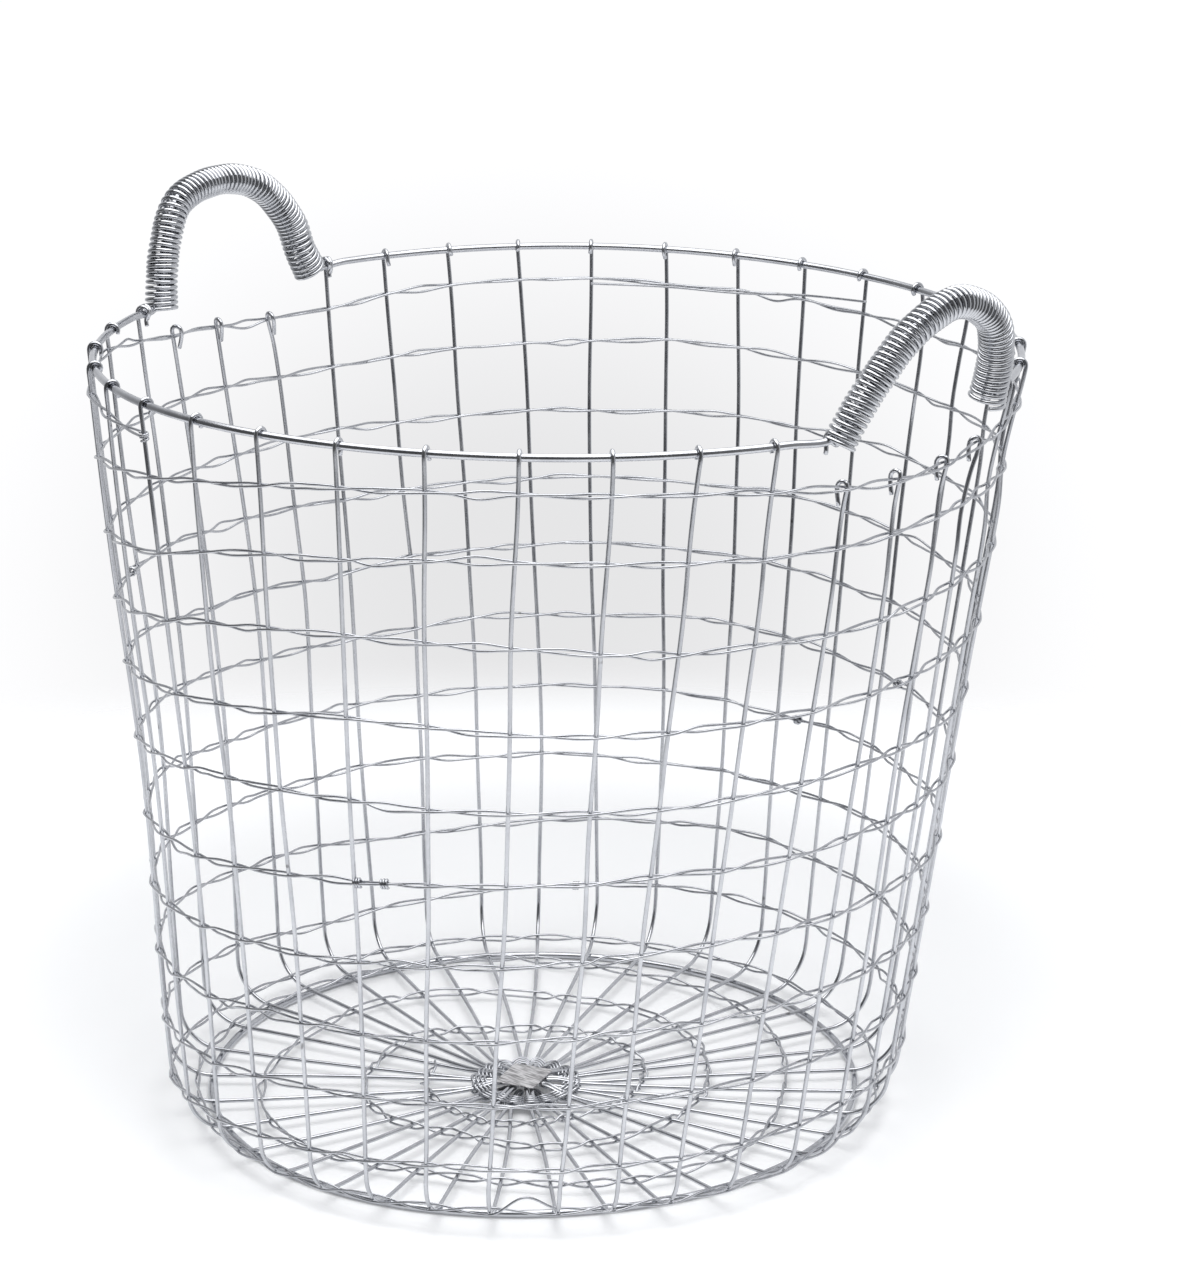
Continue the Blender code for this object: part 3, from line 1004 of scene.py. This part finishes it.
def coil_path(bow, seed):
    """A wound wire round the bow, with slightly uneven turns."""
    pick = random.Random(seed)
    points = bow_points(bow)
    along = bow_frame(bow)[2]
    points[0] += along * bow["feet"][0] / 1000.0
    points[-1] += along * bow["feet"][1] / 1000.0
    below = [
        points[end] + (points[end] - points[near]).normalized() * 0.0045
        for end, near in ((0, 1), (-1, -2))
    ]
    axis = smooth_path([below[0], *points, below[1]], False, 0.0006)
    lengths = np.concatenate(([0.0], np.cumsum(np.linalg.norm(np.diff(axis, axis=0), axis=1))))
    start, stop = 0.0015, lengths[-1] - 0.0015
    turns = (stop - start) / COIL_PITCH
    total = int(turns * COIL_STEPS)
    tangents, sides, others = tube_frames(axis, False)
    phases = [pick.uniform(0, 2 * math.pi) for _ in range(4)]
    path = []
    for step in range(total + 1):
        share = step / total
        turn = share * turns
        along = start + (stop - start) * share
        loosened = 0.0006 * math.sin(0.31 * turn + phases[0])
        loosened += 0.0002 * math.sin(0.83 * turn + phases[1])
        along = min(lengths[-1], max(0.0, along + loosened))
        centre = np.array([np.interp(along, lengths, axis[:, k]) for k in range(3)])
        place = min(len(axis) - 1, int(np.searchsorted(lengths, along)))
        tilt = 0.06 * math.sin(0.7 * turn + phases[2])
        angle = 2.0 * math.pi * turn
        flare = math.exp(-turn / 1.2) + math.exp(-(turns - turn) / 1.2)
        swell = 1.0 + (bow["swell"][int(share > 0.5)] - 1.0) * abs(2.0 * share - 1.0)
        radius = COIL_R * (swell + 0.012 * math.sin(0.9 * turn + phases[3]) + 0.06 * flare)
        spoke = math.cos(angle) * sides[place] + math.sin(angle) * others[place]
        slant = tangents[place] * radius * math.sin(angle) * tilt
        path.append(centre + radius * spoke + slant)
    return np.array(path)


def coil_tail(bow, foot, distance, coil):
    """From the end of a coil along under the rim to the next hook, round the rim, and down."""
    bearing = bow["legs"][foot]
    away = 1.0 if foot else -1.0
    reach = RIM_WIRE + COIL_WIRE + TOUCH
    points = [coil[-14], coil[-1]]
    for step in range(12):
        angle = math.radians(-70.0 + 28.0 * step)
        here = bearing + away * (distance + 0.09 * step)
        centre = on_wall(rim_radius(here), here, RIM_Z)
        points.append(centre + polar(reach * math.cos(angle), here, reach * math.sin(angle)))
    points.append(points[-1] + polar(0.0004, bearing, -0.0022))
    points.append(points[-1] + polar(-0.0004, bearing, -0.0024))
    steps = smooth_path(points, False, 0.0008)
    near = int(np.argmin(np.linalg.norm(steps - coil[-1], axis=1)))
    return np.vstack((coil, steps[near + 1 :]))


def add_coils(material):
    for name, node, bow, seed, tails in (
        ("grip_coil_left", "handle_coil_left", LEFT_BOW, 5, ((0, 3.2), (1, 3.2))),
        ("grip_coil_right", "handle_coil_right", RIGHT_BOW, 6, ((0, 0.9),)),
    ):
        path = coil_path(bow, seed)
        for foot, distance in tails:
            path = coil_tail(bow, foot, distance, path if foot else path[::-1])
            path = path if foot else path[::-1]
        obj = add_wire(name, [(path, COIL_WIRE, False)], material, 10)
        stand_for(obj, "coil_wire", node)


# ---- hub, foot and tag


def hub_round(radius, strand):
    """One strand once round the hub: it arches over one pair and dives under the next."""
    path = []
    for pair in range(PAIRS):
        here = pair_direction(pair)
        there = pair_direction((pair + 1) % PAIRS)
        span = (there - here + 180.0) % 360.0 - 180.0
        side = 1.0 if (pair + strand) % 2 else -1.0
        for step in range(SPAN_STEPS):
            share = step / SPAN_STEPS
            scallop = abs(math.cos(math.pi * share))
            level = side * math.cos(math.pi * share)
            flat = math.copysign(abs(level) ** 0.6, level)
            reach = radius + 0.0022 * scallop - 0.0006 + (0.0003 if strand else -0.0003)
            path.append(hub_centre() + polar(reach, here + span * share, SPOKE_Z + 0.0020 * flat))
    return np.array(path)


def add_hub_rows(material):
    """The tight binding of the hub. It has more rounds than the CAD has rows."""
    for row, rounds in enumerate(HUB_ROUNDS):
        for strand, label in enumerate("ab"):
            wires = [(hub_round(radius, strand), WEAVE_WIRE, True) for radius in rounds]
            obj = add_wire(f"hub_binding_{row + 1}_{label}", wires, material, 8)
            stand_for(obj, "weave_wire", f"hub_row_{row + 1}_{label}")


def add_foot_ring(material):
    points = []
    for step in range(90):
        bearing = 4.0 * step
        flattened = FOOT_FLAT * bell(bearing, 282.0, 42.0)
        points.append(polar(FOOT_R - flattened, bearing, FOOT_WIRE) + axis_shift(0.0))
    path = smooth_path(points, True, 0.0035)
    obj = add_wire("foot_wire", [(path, FOOT_WIRE, True)], material, 16)
    stand_for(obj, "bright_wire", "foot_ring")


def add_tag(material):
    """A thin plate with rounded corners and softened edges, lying on the crossing pairs."""
    mesh = bpy.data.meshes.new("blank_tag")
    outline = []
    for cx, cy, first in ((1, 1, 0.0), (-1, 1, 90.0), (-1, -1, 180.0), (1, -1, 270.0)):
        for step in range(5):
            angle = math.radians(first + 22.5 * step)
            x = cx * (TAG_LENGTH / 2.0 - TAG_CORNER) + TAG_CORNER * math.cos(angle)
            y = cy * (TAG_WIDTH / 2.0 - TAG_CORNER) + TAG_CORNER * math.sin(angle)
            outline.append((x, y))
    count = len(outline)
    points = [(x, y, z) for z in (0.0, TAG_THICKNESS) for x, y in outline]
    faces = [list(range(count))[::-1], list(range(count, 2 * count))]
    faces += [[k, (k + 1) % count, (k + 1) % count + count, k + count] for k in range(count)]
    mesh.from_pydata(points, [], faces)
    mesh.materials.append(material)
    obj = linked("blank_tag", mesh)
    lift = SPOKE_Z + PAIR_RISE + RIB_WIRE + 0.0006
    place = Matrix.Translation(hub_centre() + shift(*TAG_SHIFT, lift))
    mesh.transform(place @ Matrix.Rotation(TAG_TURN, 4, "Z"))
    bevel = obj.modifiers.new("softened", "BEVEL")
    bevel.width = 0.0002
    bevel.segments = 2
    bevel.limit_method = "ANGLE"
    stand_for(obj, "tag_metal", "hub_tag")


# ---- stage


def add_stage():
    """A pale floor that fades out a good way from the basket, so that no edge of it shows. It
    glows with painted light, turned down round the basket to a painted shade.
    """
    mesh = bpy.data.meshes.new("floor")
    reach = 2.4
    corners = [(-reach, -reach, 0), (reach, -reach, 0), (reach, reach, 0), (-reach, reach, 0)]
    mesh.from_pydata(corners, [], [(0, 1, 2, 3)])
    floor = linked("floor", mesh)
    material, tree, shader = new_material("pale_floor_painted_glow_and_shade")
    place = new_node(tree, "TexCoord", {}).outputs["Object"]
    behind = vector_math(tree, "DISTANCE", place, shift(0.0, FLOOR_PAINTED_SHADE_MIDDLE))
    away = vector_math(tree, "DISTANCE", place, shift(0.0, FLOOR_MIDDLE))
    inputs = {
        "Base Color": (0.93, 0.935, 0.945, 1.0),
        "Roughness": 0.35,
        # Painted glow and shade: the floor shines with its own light, dimmer round the basket as a
        # painted shadow
        "Emission Color": (0.97, 0.985, 1.0, 1.0),
        "Emission Strength": ranged(tree, behind, *FLOOR_PAINTED_SHADE_TO_GLOW, 0.09, 0.38),
        "Alpha": ranged(tree, away, *FLOOR_FADE, 1.0, 0.0),
    }
    fill(tree, shader, inputs)
    mesh.materials.append(material)


def add_light(name, place, aim, size, radiance):
    """A soft box of the given brightness, which shows in reflections only."""
    data = bpy.data.lights.new(name, "AREA")
    data.shape = "RECTANGLE"
    data.size, data.size_y = size
    data.energy = radiance * math.pi * size[0] * size[1]
    obj = linked(name, data)
    obj.location = place
    obj.rotation_mode = "QUATERNION"
    obj.rotation_quaternion = (aim - place).to_track_quat("-Z", "Y")
    obj.visible_camera = False


def out_of_oval(tree, place, centre, axes):
    """How far out a direction is: 0 in the middle of the oval, 1 on its border."""
    offset = vector_math(tree, "SUBTRACT", place, centre, "Vector")
    parts = [vector_math(tree, "DOT_PRODUCT", offset, axis) for axis in axes]
    both = new_node(tree, "CombineXYZ", dict(enumerate(parts))).outputs[0]
    return new_node(tree, "VectorMath", {0: both}, operation="LENGTH").outputs["Value"]


def background(tree, colour, strength):
    return new_node(tree, "Background", {"Color": colour, "Strength": strength}).outputs[0]


def add_world():
    """A white room to look at, with a painted shade behind the basket. In reflections its near
    side is dark and its far side is bright.
    """
    world = bpy.data.worlds.new("studio")
    bpy.context.scene.world = world
    world.use_nodes = True
    tree = world.node_tree
    tree.nodes.clear()
    direction = new_node(tree, "TexCoord", {}).outputs["Generated"]
    toward = vector_math(tree, "DOT_PRODUCT", direction, shift(0.48, 0.88))
    glow = ranged(tree, toward, -0.75, 0.95, 0.10, 0.85)
    wide, tall = BACKDROP_SHADE_REACH
    centre = shift(0.0, math.cos(BACKDROP_SHADE_TILT), -math.sin(BACKDROP_SHADE_TILT))
    axes = (shift(1.0, 0.0) / wide, Vector((0.0, 0.0, 1.0)) / tall)
    # Painted shade: the backdrop the camera looks at darkens in an oval behind the basket
    shade = ranged(tree, out_of_oval(tree, direction, centre, axes), 0.15, 1.35, 0.80, 1.03)
    inputs = {
        0: new_node(tree, "LightPath", {}).outputs["Is Camera Ray"],
        1: background(tree, (0.97, 0.98, 1.0, 1.0), glow),
        2: background(tree, (0.99, 0.99, 1.0, 1.0), shade),
    }
    seen = new_node(tree, "MixShader", inputs).outputs[0]
    new_node(tree, "OutputWorld", {"Surface": seen})


def add_camera():
    data = bpy.data.cameras.new("camera")
    data.sensor_fit = "AUTO"
    data.sensor_width = CAMERA_SENSOR
    data.lens = CAMERA_LENS
    data.clip_start = 0.05
    data.clip_end = 50.0
    camera = linked("camera", data)
    pitch, yaw, roll = CAMERA_PITCH, CAMERA_YAW, CAMERA_ROLL
    forward = shift(
        math.sin(yaw) * math.cos(pitch), math.cos(yaw) * math.cos(pitch), -math.sin(pitch)
    )
    level = shift(math.cos(yaw), -math.sin(yaw))
    upright = level.cross(forward)
    right = level * math.cos(roll) + upright * math.sin(roll)
    up = upright * math.cos(roll) - level * math.sin(roll)
    place = shift(-LEAN / 2.0, -CAMERA_BACK, CAMERA_HEIGHT)
    turn = Matrix((right, up, -forward)).transposed().to_4x4()
    camera.matrix_world = Matrix.Translation(place) @ turn
    bpy.context.scene.camera = camera


def main():
    zinc = zinc_material("galvanised_wire", (0.60, 0.61, 0.64), (0.47, 0.48, 0.51), (0.14, 0.24))
    thin = zinc_material(
        "galvanised_thin_wire", (0.58, 0.59, 0.62), (0.43, 0.44, 0.47), (0.14, 0.24), speck=0.78
    )
    coil = zinc_material(
        "bright_coil_wire", (0.55, 0.56, 0.585), (0.51, 0.52, 0.545), (0.09, 0.13),
        speck=0.90, bump=0.000002, fine_dark=0.99,
    )
    add_rim(zinc)
    add_coils(coil)
    add_ribs(zinc)
    add_weave(thin)
    add_hub_rows(thin)
    add_foot_ring(zinc)
    add_tag(tag_material())
    add_stage()
    add_world()
    add_light("overhead", shift(0.0, -0.15, 1.05), shift(0.0, -0.15, 0.0), (1.3, 1.1), 2.3)
    add_camera()
    bpy.context.scene.view_settings.view_transform = "Standard"


main()
